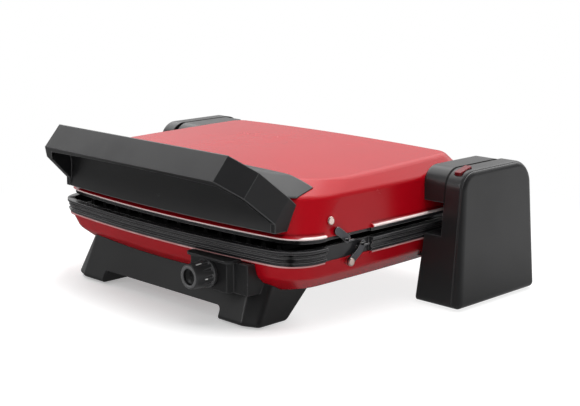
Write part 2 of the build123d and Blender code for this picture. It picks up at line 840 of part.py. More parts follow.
# Front stand: hollow moulding with two feet joined by an arched front panel
housing_keepout = level_band(
    ((bowl_rim_z - hem_height - seat_gap, hem_width - bowl_rim_inset + seat_gap), (bowl_rim_z + 2, 2.0)),
    lower_front_step,
)
with BuildPart() as front_stand:
    add(stand_outer)
    add(stand_form(stand_wall), mode=Mode.SUBTRACT)
    for side in (1, -1):
        add(stand_foot(side))
    with BuildSketch(Plane.XZ.offset(-stand_front_y - stand_rake)):
        with Locations((0, arch_z / 2 - arch_round)):
            RectangleRounded(2 * foot_inner, arch_z + 2 * arch_round, arch_round)
    extrude(amount=stand_rake + 1, mode=Mode.SUBTRACT)
    # Control housing: raised pad, plain panel beside it and a visor over the knob
    housing_rear_y = housing_face_y + housing_depth
    panel_y = housing_face_y + 2 * housing_edge
    with BuildSketch(Plane.XY.offset(housing_low_z)):
        Polygon(
            (housing_left_x, housing_face_y),
            (housing_pad_x, housing_face_y),
            (housing_pad_x + housing_edge, panel_y),
            (housing_right_x, panel_y),
            (housing_right_x, housing_rear_y),
            (housing_left_x - housing_edge, housing_rear_y),
            (housing_left_x - housing_edge, panel_y),
            align=None,
        )
    extrude(amount=visor_low_z - housing_low_z)
    with BuildSketch(Plane.XY.offset(visor_low_z)):
        visor_depth = housing_rear_y - visor_y
        visor_width = visor_right_x - housing_left_x + housing_edge
        visor_middle = (visor_right_x + housing_left_x - housing_edge) / 2
        with Locations((visor_middle, visor_y + visor_depth)):
            RectangleRounded(visor_width, 2 * visor_depth, visor_round)
    extrude(amount=visor_thickness)
    add(bowl_seat, mode=Mode.SUBTRACT)
    add(housing_keepout, mode=Mode.SUBTRACT)
    # The visor's roof reaches back only as far as the bowl's rim
    roof_rear = (housing_rear_y - housing_edge, far)
    add(block((-far, far), roof_rear, (bowl_waist_z + bowl_round, far)), mode=Mode.SUBTRACT)
    shaft_hole = rod((knob_x, visor_y, knob_z), (0, 1, 0), 2 * housing_depth, shaft_hole_radius)
    add(shaft_hole, mode=Mode.SUBTRACT)
    for x in (-stand_screw_x, stand_screw_x):
        hole_z = bowl_floor_z - stand_screw_length - 1
        screw_hole = rod((x, stand_screw_y, hole_z), (0, 0, 1), bowl_floor_z, screw_radius + running_gap)
        add(screw_hole, mode=Mode.SUBTRACT)
    for x in (-front_pad_x, front_pad_x):
        plug = rod((x, front_pad_y, 0), (0, 0, 1), pad_height + pad_plug, pad_plug_radius + running_gap)
        add(plug, mode=Mode.SUBTRACT)
keep("front_stand", front_stand.part)

# Knob: tapered and fluted, with a skirt at the back and a dished face
knob_back_y = housing_face_y - knob_gap
knob_face_y = knob_back_y - knob_length
with BuildPart() as knob:
    with BuildSketch(Plane(origin=(knob_x, knob_back_y, knob_z), x_dir=(1, 0, 0), z_dir=(0, 0, 1))):
        Polygon(
            (0, 0),
            (knob_skirt_radius, 0),
            (knob_skirt_radius, -knob_skirt),
            (knob_base_radius, -knob_skirt),
            (knob_tip_radius, -knob_length),
            (0, -knob_length),
            align=None,
        )
    revolve(axis=Axis((knob_x, knob_back_y, knob_z), (0, 1, 0)))
    front_rim = knob.edges().sort_by(Axis.Y)[0:1]
    fillet(front_rim, knob_edge_round)
    with BuildSketch(Plane.XZ.offset(-knob_back_y + knob_skirt + 1)):
        with Locations((knob_x, knob_z)):
            with PolarLocations(knob_base_radius + flute_radius / 2, knob_flutes):
                Circle(flute_radius)
    extrude(amount=knob_length, mode=Mode.SUBTRACT)
    with BuildSketch(Plane.XZ.offset(-knob_face_y)):
        with Locations((knob_x, knob_z)):
            Circle(knob_dish_radius)
    extrude(amount=-knob_dish_depth, mode=Mode.SUBTRACT)
    bore = rod((knob_x, knob_back_y, knob_z), (0, -1, 0), shaft_depth, shaft_radius + running_gap)
    add(bore, mode=Mode.SUBTRACT)
keep("knob", knob.part)

# Thermostat behind the knob: shaft, body and the bracket it hangs on
thermostat_front_y = thermostat_y - thermostat_size[1] / 2
shaft_front_y = knob_back_y - shaft_depth + 0.4
with BuildPart() as thermostat_shaft:
    shaft_length = thermostat_front_y + shaft_entry - shaft_front_y
    add(rod((knob_x, shaft_front_y, knob_z), (0, 1, 0), shaft_length, shaft_radius))
keep("thermostat_shaft", thermostat_shaft.part)

with BuildPart() as thermostat_body:
    with Locations((knob_x, thermostat_y, knob_z)):
        Box(*thermostat_size)
    fillet(thermostat_body.edges().filter_by(Axis.Y), thermostat_round)
    socket = rod(
        (knob_x, thermostat_front_y, knob_z), (0, 1, 0), shaft_entry + 1, shaft_radius + running_gap
    )
    add(socket, mode=Mode.SUBTRACT)
keep("thermostat_body", thermostat_body.part)

bracket_y = thermostat_y + thermostat_size[1] / 2 + seat_gap
bracket_low_z = bowl_floor_z + sheet + seat_gap
with BuildPart() as thermostat_bracket:
    bracket_x = (knob_x - bracket_half_width, knob_x + bracket_half_width)
    bracket_top_z = knob_z + thermostat_size[2] / 2
    foot_y = (bracket_y, bracket_y + bracket_foot)
    add(block(bracket_x, (bracket_y, bracket_y + bracket_sheet), (bracket_low_z, bracket_top_z)))
    add(block(bracket_x, foot_y, (bracket_low_z, bracket_low_z + bracket_sheet)))
keep("thermostat_bracket", thermostat_bracket.part)


def pod_form(inset):
    """The whole rear pod: raked front, big rounds on top, both sides tapered."""
    low_z = pad_height + inset
    top_z = pod_top_z - inset
    height = pod_top_z - pad_height
    rise = top_z - low_z
    front = pod_front_y + inset
    rear = rear_y - inset + pod_rear_lean / height * pod_sole_round
    taper = pod_side_lean / height
    side_low_x = pod_outer_x - inset + taper * pod_bevel
    side_top_x = side_low_x - taper * (top_z + pod_bevel - pad_height)
    inner_x = pod_inner_x + inset
    with BuildPart() as form:
        with BuildSketch(Plane.YZ.offset(inner_x - pod_inner_taper)):
            Polygon(
                (front, low_z),
                (front + pod_front_lean / height * rise, top_z),
                (rear - pod_rear_lean / height * rise, top_z),
                (rear, low_z),
                align=None,
            )
        extrude(amount=pod_outer_x - inner_x + 2 * pod_inner_taper)
        top_front, top_rear = form.edges().filter_by(Axis.X).group_by(Axis.Z)[-1].sort_by(Axis.Y)
        sole = form.edges().filter_by(Axis.X).group_by(Axis.Z)[0]
        fillet([top_front], pod_front_round - inset)
        fillet([top_rear], pod_rear_round - inset)
        fillet(sole, pod_sole_round - inset)
        with BuildSketch(Plane.XZ):
            Polygon(
                (side_low_x, pad_height),
                (side_top_x, top_z + pod_bevel),
                (pod_outer_x + far, top_z + pod_bevel),
                (pod_outer_x + far, 0),
                (side_low_x, 0),
                align=None,
            )
            Polygon(
                (inner_x - pod_inner_taper, pad_height),
                (inner_x, pod_shelf_z),
                (inner_x, top_z + pod_bevel),
                (0, top_z + pod_bevel),
                (0, 0),
                (inner_x - pod_inner_taper, 0),
                align=None,
            )
        extrude(amount=overall_depth, both=True, mode=Mode.SUBTRACT)
        outer_face = form.faces().sort_by(Axis.X)[-1]
        rim = outer_face.edges().filter_by(lambda edge: edge.center().Z > low_z + pod_sole_round)
        fillet(rim, pod_bevel - inset)
    return form.part


pod_outer = pod_form(0)
pod_inner = pod_form(pod_wall)
cavity_x = pod_slot_x + pod_wall
leg_side_x = pod_seam_x - pod_seam_gap
cover_x = pod_seam_x + pod_seam_gap
guide_outer_x = pod_seam_x - 8 * block_gap
guide_low_z = hinge_z - block_half - block_gap - guide_wall
guide_high_z = hinge_z + lift_travel + block_half + block_gap + guide_wall
button_place = (
    pod_front_y
    + pod_front_lean * (pod_top_z - pod_front_round - pad_height) / (pod_top_z - pad_height)
    + pod_front_round
    + 0.1,
    pod_top_z - pod_front_round,
)
button_turn = radians(button_angle)
button_out = (0, cos(button_turn), sin(button_turn))


def button_block(proud, height, grow):
    """The release button's block, or with growth the slot it slides in."""
    centre = Vector(button_x, *button_place) + Vector(button_out) * (pod_front_round + proud)
    with BuildPart() as solid:
        with BuildSketch(Plane(origin=centre, x_dir=(1, 0, 0), z_dir=button_out)):
            RectangleRounded(button_width + 2 * grow, button_length + 2 * grow, button_corner)
        extrude(amount=-height)
    return solid.part


def pod_hollow():
    """Space inside a leg: leaves its sole, its slotted wall and the shelf over its foot."""
    rear_wall_y = pod_shelf_rear_y - pod_wall
    with BuildPart() as hollow:
        add(pod_inner)
        add(block((0, cavity_x), (-far, far), (pod_shelf_z - pod_wall, far)), mode=Mode.SUBTRACT)
        add(block((0, cavity_x), (rear_wall_y, far), (-1, far)), mode=Mode.SUBTRACT)
    return hollow.part


# Right rear leg: upper half beside the lid arm, lower half stepped in under it
with BuildPart() as rear_leg_right:
    add(pod_outer)
    add(block((leg_side_x, far), (-far, far), (-1, far)), mode=Mode.SUBTRACT)
    step_x = (0, pod_slot_x)
    add(block(step_x, (-far, far), (pod_shelf_z, far)), mode=Mode.SUBTRACT)
    add(block(step_x, (pod_shelf_rear_y, far), (-1, far)), mode=Mode.SUBTRACT)
    relief = rod((0, hinge_y, hinge_z), (1, 0, 0), pod_slot_x, pod_relief_radius)
    add(relief, mode=Mode.SUBTRACT)
    add(pod_hollow(), mode=Mode.SUBTRACT)
    # Mounting boss that carries the bowl
    boss_x = (body_half_width - boss_root, pod_inner_x + pod_wall)
    add(block(boss_x, (boss_front_y, boss_rear_y), (boss_low_z, boss_high_z)))
    add(bowl_seat, mode=Mode.SUBTRACT)
    with BuildSketch(Plane.YZ.offset(pod_slot_x - 1)):
        with Locations((hinge_y, hinge_z + lift_travel / 2)):
            SlotCenterToCenter(lift_travel, 2 * (pin_radius + block_gap), rotation=90)
    extrude(amount=pod_wall + 2, mode=Mode.SUBTRACT)
    for y in leg_screw_ys:
        add(wall_hole(leg_screw_point(y), leg_screw_dir, leg_screw_length), mode=Mode.SUBTRACT)
    for y in rear_pad_ys:
        plug = rod((rear_pad_x, y, 0), (0, 0, 1), pad_height + pad_plug, pad_plug_radius + running_gap)
        add(plug, mode=Mode.SUBTRACT)
    leg_plain = rear_leg_right.part
    add(button_block(4, pod_wall + 12, button_gap), mode=Mode.SUBTRACT)
keep("rear_leg_right", rear_leg_right.part)

with BuildPart() as rear_leg_left:
    add(leg_plain.mirror(Plane.YZ))
keep("rear_leg_left", rear_leg_left.part)

# Outer covers of the pods
cover_inner = pod_form(cover_wall)
with BuildPart() as pod_cover_right:
    add(pod_outer)
    add(block((0, cover_x), (-far, far), (-1, far)), mode=Mode.SUBTRACT)
    add(cover_inner, mode=Mode.SUBTRACT)
keep("pod_cover_right", pod_cover_right.part)

with BuildPart() as pod_cover_left:
    add(pod_cover_right.part.mirror(Plane.YZ))
keep("pod_cover_left", pod_cover_left.part)

# Release button in the right pod's top
with BuildPart() as release_button:
    add(button_block(button_proud, button_height, 0))
    top_rim = release_button.faces().sort_by(Axis((0, 0, 0), button_out))[-1].edges()
    fillet(top_rim, 0.6)
keep("release_button", release_button.part)


def guide_frame():
    """Steel frame that keeps the slide block upright over its travel."""
    inner_half = block_half + block_gap
    frame_half = inner_half + guide_wall
    middle_z = (guide_low_z + guide_high_z) / 2
    height = guide_high_z - guide_low_z
    with BuildPart() as frame:
        with BuildSketch(Plane.YZ.offset(cavity_x + seat_gap)):
            with Locations((hinge_y, middle_z)):
                RectangleRounded(2 * frame_half, height, guide_wall)
                Rectangle(2 * inner_half, height - 2 * guide_wall, mode=Mode.SUBTRACT)
        extrude(amount=guide_outer_x - cavity_x - seat_gap)
    return frame.part


guide_right = guide_frame()
with BuildPart() as hinge_guide_right:
    add(guide_right)
keep("hinge_guide_right", hinge_guide_right.part)

with BuildPart() as hinge_guide_left:
    add(guide_right.mirror(Plane.YZ))
keep("hinge_guide_left", hinge_guide_left.part)

block_x = (cavity_x + seat_gap + block_gap, guide_outer_x - block_gap)
with BuildPart() as hinge_block_right:
    block_z = (hinge_z - block_half, hinge_z + block_half)
    add(block(block_x, (hinge_y - block_half, hinge_y + block_half), block_z))
    add(rod((cavity_x, hinge_y, hinge_z), (1, 0, 0), pod_reach, pin_radius + running_gap), mode=Mode.SUBTRACT)
keep("hinge_block_right", hinge_block_right.part)

with BuildPart() as hinge_block_left:
    add(hinge_block_right.part.mirror(Plane.YZ))
keep("hinge_block_left", hinge_block_left.part)

with BuildPart() as hinge_pin_right:
    head_x = arm_inner_x - block_gap - pin_head
    add(rod((head_x, hinge_y, hinge_z), (1, 0, 0), pin_head, pin_head_radius))
    add(rod((head_x, hinge_y, hinge_z), (1, 0, 0), block_x[1] - head_x, pin_radius))
keep("hinge_pin_right", hinge_pin_right.part)

with BuildPart() as hinge_pin_left:
    add(hinge_pin_right.part.mirror(Plane.YZ))
keep("hinge_pin_left", hinge_pin_left.part)

# Lid arm: boss on the lid's side that drops to a lug round the hinge pin
with BuildPart() as hinge_arm_right:
    with BuildSketch(Plane.YZ.offset(arm_root_x)):
        with BuildLine():
            Polyline(
                (arm_front_y, arm_low_z),
                (arm_front_y + arm_front_lean, pod_top_z),
                (arm_rear_y, pod_top_z),
                (arm_rear_y, arm_low_z),
                (arm_front_y, arm_low_z),
            )
        make_face()
    extrude(amount=arm_outer_x - arm_root_x)
    front_edge, rear_edge = (
        hinge_arm_right.edges().filter_by(Axis.X).group_by(Axis.Z)[-1].sort_by(Axis.Y)
    )
    fillet([front_edge], arm_front_round)
    fillet([rear_edge], arm_rear_round)
    inner_top = hinge_arm_right.faces().sort_by(Axis.X)[0].edges()
    fillet(inner_top.filter_by(lambda edge: edge.center().Z > arm_low_z + arm_overlap), arm_rear_round)
    with BuildSketch(Plane.YZ.offset(arm_inner_x)):
        Polygon(
            (arm_foot_y, arm_low_z + arm_overlap),
            (hinge_y - lug_radius + block_gap, hinge_z),
            (hinge_y + lug_radius - block_gap, hinge_z),
            (arm_rear_y, arm_low_z - 2 * arm_overlap),
            (arm_rear_y, arm_low_z + arm_overlap),
            align=None,
        )
        with Locations((hinge_y, hinge_z)):
            Circle(lug_radius)
    extrude(amount=arm_outer_x - arm_inner_x)
    add(rod((0, hinge_y, hinge_z), (1, 0, 0), far, pin_radius + running_gap), mode=Mode.SUBTRACT)
    add(lid_seat, mode=Mode.SUBTRACT)
    for y in arm_screw_ys:
        add(wall_hole(arm_screw_point(y), arm_screw_dir, arm_screw_length), mode=Mode.SUBTRACT)
keep("hinge_arm_right", hinge_arm_right.part)

with BuildPart() as hinge_arm_left:
    add(hinge_arm_right.part.mirror(Plane.YZ))
keep("hinge_arm_left", hinge_arm_left.part)

# Handle: a hollow-bellied hood across the front, its saddle and the flange on the lid
tilt = radians(handle_tilt)
hood_edge = (0, front_y, handle_lip_z)
along_hood = (0, cos(tilt), -sin(tilt))
out_of_hood = (0, sin(tilt), cos(tilt))
hood_face = Plane(origin=hood_edge, x_dir=(1, 0, 0), z_dir=out_of_hood)
hood_side = Plane(origin=hood_edge, x_dir=along_hood, z_dir=(1, 0, 0))


def hood_prism(inset, low, high):
    """Faceted hood outline drawn out square to its face."""
    right = (
        (handle_half_length - inset, inset),
        (knee_half - inset, knee_back + inset / 2),
        (end_half - inset, end_back),
        (end_half - inset, hood_length),
    )
    left = tuple((-x, y) for x, y in reversed(right))
    with BuildPart() as prism:
        with BuildSketch(hood_face.offset(low)):
            Polygon(*right, *left, align=None)
        extrude(amount=high - low)
    return prism.part


saddle_sag = saddle_bow_radius - sqrt(saddle_bow_radius**2 - end_half**2)
bow_axis = Axis((0, saddle_front_y + saddle_bow_radius, 0), (0, 0, 1))
bow_angle = 2 * degrees(atan(end_half / (saddle_bow_radius - end_half)))


def finger_pocket():
    """Hollow under the hood, swept round the same bow as the saddle's front."""
    with BuildPart() as sweep_solid:
        with BuildSketch(hood_side):
            with BuildLine():
                Polyline((lip, -belly_drop), (lip, hood_depth - lip), (2 * lip, hood_depth))
                Line((2 * lip, hood_depth), (hood_bend, hood_depth))
                ThreePointArc((hood_bend, hood_depth), belly_middle, belly_foot)
                Polyline(belly_foot, (belly_foot[0], -belly_drop), (lip, -belly_drop))
            make_face()
        revolve(axis=bow_axis, revolution_arc=bow_angle)
    with BuildPart() as pocket:
        add(sweep_solid.part.rotate(bow_axis, -bow_angle / 2))
        add(hood_prism(lip, -2 * belly_drop, hood_depth + 1), mode=Mode.INTERSECT)
    return pocket.part


def lid_flange():
    """Skirt of the handle that lies on the front slope of the lid."""
    span = (1 - end_half, end_half - 1)
    with BuildPart() as skirt:
        add(lid_form(-flange_thickness))
        add(block(span, (lid_waist_front_y, saddle_rear_y), (lid_waist_z, far)), mode=Mode.INTERSECT)
    return skirt.part


with BuildPart() as handle:
    with BuildSketch(Plane.XY.offset(saddle_low_z)):
        with BuildLine():
            ThreePointArc(
                (-end_half - 1, saddle_front_y + saddle_sag),
                (0, saddle_front_y),
                (end_half + 1, saddle_front_y + saddle_sag),
            )
            Polyline(
                (end_half + 1, saddle_front_y + saddle_sag),
                (end_half + 1, saddle_rear_y),
                (-end_half - 1, saddle_rear_y),
                (-end_half - 1, saddle_front_y + saddle_sag),
            )
        make_face()
    extrude(amount=handle_top - saddle_low_z)
    add(hood_prism(0, -handle_top, handle_face), mode=Mode.INTERSECT)
    add(hood_prism(0, 0, handle_face))
    add(block((-far, far), (-far, far), (0, saddle_low_z)), mode=Mode.SUBTRACT)
    add(finger_pocket(), mode=Mode.SUBTRACT)
    add(lid_flange())
    add(lid_seat, mode=Mode.SUBTRACT)
    for x in handle_screw_xs:
        screw_hole = wall_hole(handle_screw_point(x), handle_screw_dir, handle_screw_length)
        add(screw_hole, mode=Mode.SUBTRACT)
keep("handle", handle.part)


def swept_discs(*places):
    """Flat outline round one disc after another, each with its centre and radius."""
    with BuildSketch() as shape:
        for start, end in zip(places, places[1:]):
            with BuildSketch(mode=Mode.PRIVATE) as stretch:
                for centre, radius in (start, end):
                    with Locations(centre):
                        Circle(radius)
                make_hull()
            add(stretch.sketch)
    return shape.sketch


def plate_clip(pivot, knee, hook_y, hook_z, thumb_z, bore):
    """Sheet latch: lug at its pivot, leg, hook under or over a tab, thumb tab."""
    tip = (hook_y, (hook_z[0] + hook_z[1]) / 2)
    profile = swept_discs((pivot, clip_lug_radius), (knee, clip_tip_radius), (tip, clip_tip_radius))
    with BuildPart() as clip:
        with BuildSketch(Plane.YZ.offset(clip_x)):
            add(profile)
            if bore:
                with Locations(pivot):
                    Circle(bore, mode=Mode.SUBTRACT)
        extrude(amount=clip_sheet)
        hook_span = (hook_y - clip_tip_radius, hook_y + clip_tip_radius)
        add(block((bay_x + hook_clear, clip_x), hook_span, hook_z))
        thumb_x = (clip_x + clip_sheet, clip_x + clip_sheet + thumb_tab)
        add(block(thumb_x, hook_span, (thumb_z, thumb_z + clip_sheet)))
    return clip.part


upper_hook_top = upper_plate_low_z
upper_clip_body = plate_clip(
    upper_pivot,
    ((upper_pivot_y + upper_hook_y) / 2, upper_knee_z),
    upper_hook_y,
    (upper_hook_top - hook_reach, upper_hook_top),
    upper_hook_top - hook_reach,
    0,
)
upper_clip_solid = upper_clip_body + pivot_pin(upper_pivot, upper_pivot_x, arm_lean)
lower_hook_low = lower_floor_z + seat_gap
lower_clip_solid = plate_clip(
    lower_rivet,
    ((lower_rivet_y + lower_hook_y) / 2 + lower_knee_step, lower_knee_z),
    lower_hook_y,
    (lower_hook_low, lower_hook_low + hook_reach),
    lower_hook_low + hook_reach - clip_sheet,
    rivet_shank + running_gap,
)
with BuildPart() as upper_clip_right:
    add(upper_clip_solid)
keep("upper_clip_right", upper_clip_right.part)

with BuildPart() as upper_clip_left:
    add(upper_clip_solid.mirror(Plane.YZ))
keep("upper_clip_left", upper_clip_left.part)

with BuildPart() as lower_clip_right:
    add(lower_clip_solid)
keep("lower_clip_right", lower_clip_right.part)

with BuildPart() as lower_clip_left:
    add(lower_clip_solid.mirror(Plane.YZ))
keep("lower_clip_left", lower_clip_left.part)

with BuildPart() as upper_clip_rivets:
    add(both_sides(skin_rivet(upper_rivet_point, arm_screw_dir)))
keep("upper_clip_rivets", upper_clip_rivets.part)

with BuildPart() as lower_clip_rivets:
    add(both_sides(pivot_rivet(lower_rivet, lower_skin_x, leg_lean)))
keep("lower_clip_rivets", lower_clip_rivets.part)

# Screws that hold the handle, the arms, the legs and the stand
with BuildPart() as handle_screws:
    for x in handle_screw_xs:
        add(wall_screw(handle_screw_point(x), handle_screw_dir, handle_screw_length))
keep("handle_screws", handle_screws.part)

with BuildPart() as arm_screws:
    for y in arm_screw_ys:
        add(both_sides(wall_screw(arm_screw_point(y), arm_screw_dir, arm_screw_length)))
keep("arm_screws", arm_screws.part)

with BuildPart() as leg_screws:
    for y in leg_screw_ys:
        add(both_sides(wall_screw(leg_screw_point(y), leg_screw_dir, leg_screw_length)))
keep("leg_screws", leg_screws.part)

with BuildPart() as stand_screws:
    floor_point = (stand_screw_x, stand_screw_y, bowl_floor_z)
    add(both_sides(wall_screw(floor_point, (0, 0, -1), stand_screw_length)))
keep("stand_screws", stand_screws.part)


def foot_pads(places):
    """Rubber feet with a plug that is pressed up into the sole."""
    with BuildPart() as pads:
        for x, y in places:
            add(rod((x, y, 0), (0, 0, 1), pad_height - seat_gap / 2, pad_radius))
            add(rod((x, y, 0), (0, 0, 1), pad_height + pad_plug - seat_gap, pad_plug_radius))
        fillet(pads.edges().group_by(Axis.Z)[0], pad_round)
    return pads.part


with BuildPart() as front_foot_pads:
    add(foot_pads([(-front_pad_x, front_pad_y), (front_pad_x, front_pad_y)]))
keep("front_foot_pads", front_foot_pads.part)

with BuildPart() as rear_foot_pads:
    add(foot_pads([(side * rear_pad_x, y) for side in (-1, 1) for y in rear_pad_ys]))
keep("rear_foot_pads", rear_foot_pads.part)

# Mains entry: grommet, terminal block and the fuse under the reflector
with BuildPart() as cord_gland:
    add(rod(entry_point + entry_dir * seat_gap, entry_dir, gland_flange, gland_flange_radius))
    add(rod(entry_point - entry_dir * (gland_length / 2), entry_dir, gland_length, gland_radius))
    gland_bore = rod(entry_point - entry_dir * gland_length, entry_dir, 2 * gland_length, gland_bore_radius)
    add(gland_bore, mode=Mode.SUBTRACT)
keep("cord_gland", cord_gland.part)

with BuildPart() as terminal_block:
    with Locations((entry_x, terminal_y, bracket_low_z + terminal_size[2] / 2)):
        Box(*terminal_size)
    fillet(terminal_block.edges().filter_by(Axis.Z), 1.0)
    with Locations(Plane.XY.offset(bracket_low_z + terminal_size[2])):
        with Locations((entry_x, terminal_y)):
            with GridLocations(*terminal_pitch, 3, 2):
                Hole(terminal_hole_radius, depth=4)
keep("terminal_block", terminal_block.part)

with BuildPart() as thermal_fuse:
    fuse_z = lower_tray_z - reflector_sheet - seat_gap - fuse_radius
    add(rod((*fuse_start, fuse_z), (1, 0, 0), fuse_length, fuse_radius))
keep("thermal_fuse", thermal_fuse.part)
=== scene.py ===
import math

import bmesh
import bpy
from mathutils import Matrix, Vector


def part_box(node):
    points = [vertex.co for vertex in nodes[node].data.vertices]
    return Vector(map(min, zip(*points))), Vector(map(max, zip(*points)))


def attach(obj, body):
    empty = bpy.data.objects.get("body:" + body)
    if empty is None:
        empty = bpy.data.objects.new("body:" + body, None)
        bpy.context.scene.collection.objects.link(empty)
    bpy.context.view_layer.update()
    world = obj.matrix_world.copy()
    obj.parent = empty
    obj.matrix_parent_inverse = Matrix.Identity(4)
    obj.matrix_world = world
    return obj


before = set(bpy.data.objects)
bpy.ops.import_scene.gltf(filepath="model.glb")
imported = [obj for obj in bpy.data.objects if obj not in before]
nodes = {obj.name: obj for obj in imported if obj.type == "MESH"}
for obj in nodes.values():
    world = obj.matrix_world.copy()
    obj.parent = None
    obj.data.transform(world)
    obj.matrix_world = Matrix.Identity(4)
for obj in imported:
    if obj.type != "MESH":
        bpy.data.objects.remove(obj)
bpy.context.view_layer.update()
scene = bpy.context.scene

# Camera: a long lens a little above the worktop, off the grill's right front
# corner, so that the front, the right side and the lid's top all show. Its
# place and tilt come from the photograph's perspective.
lens_in_pixels = 1279.5
picture_width = 580
camera_tilt = 12.22
camera_turn = 45.18
camera_data = bpy.data.cameras.new("product_camera")
camera_data.sensor_width = 36.0
camera_data.lens = camera_data.sensor_width * lens_in_pixels / picture_width
camera_data.clip_end = 50
camera = bpy.data.objects.new("product_camera", camera_data)
camera.location = (0.7756, -0.7295, 0.2952)
camera.rotation_euler = (math.radians(90 - camera_tilt), 0, math.radians(camera_turn))
scene.collection.objects.link(camera)
scene.camera = camera
scene.view_settings.view_transform = "Standard"


# Studio: white paper under the grill, softboxes at the left and overhead, a weak
# front fill and a strip for the edges, so that tops shine and the front stays
# deep. The surroundings are brightest overhead and at the back left.
class Socket:
    """A shader output that Python arithmetic can work on."""

    def __init__(self, finish, output):
        self.finish = finish
        self.output = output

    def maths(self, operation, first, second):
        node = self.finish.node("ShaderNodeMath", {"operation": operation}, {0: first, 1: second})
        return Socket(self.finish, node.outputs[0])

    def __add__(self, other):
        return self.maths("ADD", self, other)

    def __radd__(self, other):
        return self.maths("ADD", other, self)

    def __sub__(self, other):
        return self.maths("SUBTRACT", self, other)

    def __rsub__(self, other):
        return self.maths("SUBTRACT", other, self)

    def __mul__(self, other):
        return self.maths("MULTIPLY", self, other)

    def __rmul__(self, other):
        return self.maths("MULTIPLY", other, self)

    def __pow__(self, other):
        return self.maths("POWER", self, other)

    def over(self, low, high):
        """0 below the low value, 1 above the high one, smooth between."""
        node = self.finish.node(
            "ShaderNodeMapRange",
            {"interpolation_type": "SMOOTHSTEP"},
            {"Value": self, "From Min": low, "From Max": high},
        )
        return Socket(self.finish, node.outputs["Result"])


class Finish:
    """The node tree of one material or of the world."""

    def __init__(self, owner):
        self.owner = owner
        owner.use_nodes = True
        self.tree = owner.node_tree
        self.tree.nodes.clear()

    def node(self, kind, settings=None, sockets=None):
        made = self.tree.nodes.new(kind)
        for name, value in (settings or {}).items():
            setattr(made, name, value)
        for name, value in (sockets or {}).items():
            target = made.inputs[name]
            if isinstance(value, Socket):
                self.tree.links.new(value.output, target)
            else:
                target.default_value = value
        return made

    def out(self, kind, name, settings=None, sockets=None):
        return Socket(self, self.node(kind, settings, sockets).outputs[name])

    def place(self):
        """Position on the piece, in metres."""
        return self.out("ShaderNodeTexCoord", "Object")

    def coordinate(self, axis):
        """How far along X, Y or Z a point of the piece is, in metres."""
        return self.out("ShaderNodeSeparateXYZ", axis, {}, {0: self.place()})

    def noise(self, scale, detail, rough=0.5):
        """Cloudy values about 0.5, smaller with a higher scale."""
        sockets = {"Vector": self.place(), "Scale": scale, "Detail": detail, "Roughness": rough}
        return self.out("ShaderNodeTexNoise", "Fac", {}, sockets)

    def blend(self, factor, first, second):
        """Mix two colours."""
        sockets = {0: factor, 6: first, 7: second}
        return self.out("ShaderNodeMix", 2, {"data_type": "RGBA"}, sockets)

    def edge(self, radius, faint=0.002, full=0.035):
        """A rounded normal, and a mask that is 1 on sharp edges."""
        rounded = self.out("ShaderNodeBevel", "Normal", {"samples": 8}, {"Radius": radius})
        flat = self.out("ShaderNodeNewGeometry", "Normal")
        sockets = {0: rounded, 1: flat}
        along = self.out("ShaderNodeVectorMath", "Value", {"operation": "DOT_PRODUCT"}, sockets)
        return rounded, (1 - along).over(faint, full)

    def bump(self, height, depth, strength, normal):
        """The normal with a grain pressed into it."""
        sockets = {"Height": height, "Distance": depth, "Strength": strength, "Normal": normal}
        return self.out("ShaderNodeBump", "Normal", {}, sockets)

    def surface(self, **sockets):
        """Finish the material with one principled surface."""
        named = {name.replace("_", " "): value for name, value in sockets.items()}
        skin = self.out("ShaderNodeBsdfPrincipled", "BSDF", {}, named)
        self.node("ShaderNodeOutputMaterial", {}, {"Surface": skin})
        return self.owner


def material(name):
    return Finish(bpy.data.materials.new(name))


world = Finish(bpy.data.worlds.new("studio_white"))
scene.world = world.owner
rays = world.node("ShaderNodeLightPath")
camera_ray = Socket(world, rays.outputs["Is Camera Ray"])
glossy_ray = Socket(world, rays.outputs["Is Glossy Ray"])
through_ray = Socket(world, rays.outputs["Is Transmission Ray"])
outlook = world.out("ShaderNodeTexCoord", "Generated")


def facing(direction, low, high):
    """1 where the studio is seen in a direction, fading to 0 away from it."""
    sockets = {0: outlook, 1: direction}
    along = world.out("ShaderNodeVectorMath", "Value", {"operation": "DOT_PRODUCT"}, sockets)
    return along.over(low, high)


back_left = facing((-0.66, 0.66, 0.35), 0.15, 0.95)
left = facing((-0.80, -0.40, 0.45), 0.25, 0.95)
back_right = facing((0.55, 0.80, -0.10), 0.45, 0.95)
overhead = facing((-0.05, 0.62, 0.78), 0.72, 0.97)
mirror_light = 0.07 + 0.60 * back_left + 0.30 * left + 0.30 * back_right + 1.7 * overhead
white_light = camera_ray + through_ray + glossy_ray * mirror_light
diffuse_ray = (1 - camera_ray) * (1 - glossy_ray) * (1 - through_ray)
soft_light = diffuse_ray * (0.26 + 0.28 * back_left)
white = (1, 1, 1, 1)
brightness = {"Color": white, "Strength": white_light + soft_light}
sky = world.out("ShaderNodeBackground", "Background", {}, brightness)
world.node("ShaderNodeOutputWorld", {}, {"Surface": sky})

floor_mesh = bpy.data.meshes.new("studio_floor")
floor_half = 6.0
floor_corners = [(x * floor_half, y * floor_half, 0) for x, y in ((-1, -1), (1, -1), (1, 1), (-1, 1))]
floor_mesh.from_pydata(floor_corners, [], [(0, 1, 2, 3)])
floor = bpy.data.objects.new("studio_floor", floor_mesh)
scene.collection.objects.link(floor)
paper = material("white_sweep")
floor_rays = paper.node("ShaderNodeLightPath")
seen = Socket(paper, floor_rays.outputs["Is Camera Ray"])
mirrored = Socket(paper, floor_rays.outputs["Is Glossy Ray"])
spot_x = paper.coordinate("X")
spot_y = paper.coordinate("Y")
